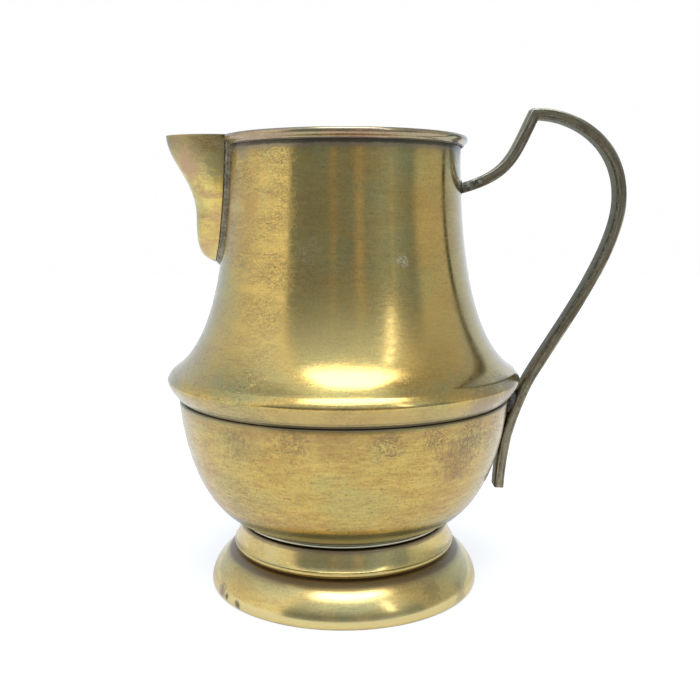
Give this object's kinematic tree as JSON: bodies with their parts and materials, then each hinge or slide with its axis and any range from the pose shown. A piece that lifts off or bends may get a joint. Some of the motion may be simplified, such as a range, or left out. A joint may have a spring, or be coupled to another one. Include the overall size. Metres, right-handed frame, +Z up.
{
  "type": "milk jug",
  "caption": "Small footed brass milk jug with a flared neck, tucked shoulder band, soldered sheet spout and a tall bent bar handle.",
  "frame": {"origin": "on the table, under the middle of the jug's overall box, handle included", "axes": "+Z up, -X towards the spout, +X towards the handle; the body's axis is parallel to Z at x = -13.6 mm"},
  "size_m": [0.1218, 0.0946, 0.1275],
  "materials": {
    "aged_brass": "aged satin brass with patina",
    "mottled_brass": "aged satin brass, mottled brown",
    "foot_brass": "aged brass, rubbed bright on the rolls",
    "spout_brass": "aged satin brass with pink and brown stains",
    "dark_brown_brass": "dark brown patina, dull",
    "tarnished_solder": "tarnished brazing metal"
  },
  "bodies": {
    "root": {"neck_shell": "aged_brass", "rim_bead": "aged_brass", "bowl": "mottled_brass", "foot": "foot_brass", "spout": "spout_brass", "handle": "dark_brown_brass", "body_solder": "tarnished_solder", "foot_solder": "tarnished_solder", "spout_solder": "tarnished_solder", "handle_neck_solder": "tarnished_solder", "handle_shoulder_solder": "tarnished_solder", "handle_tail_solder": "tarnished_solder"}
  },
  "joints": []
}
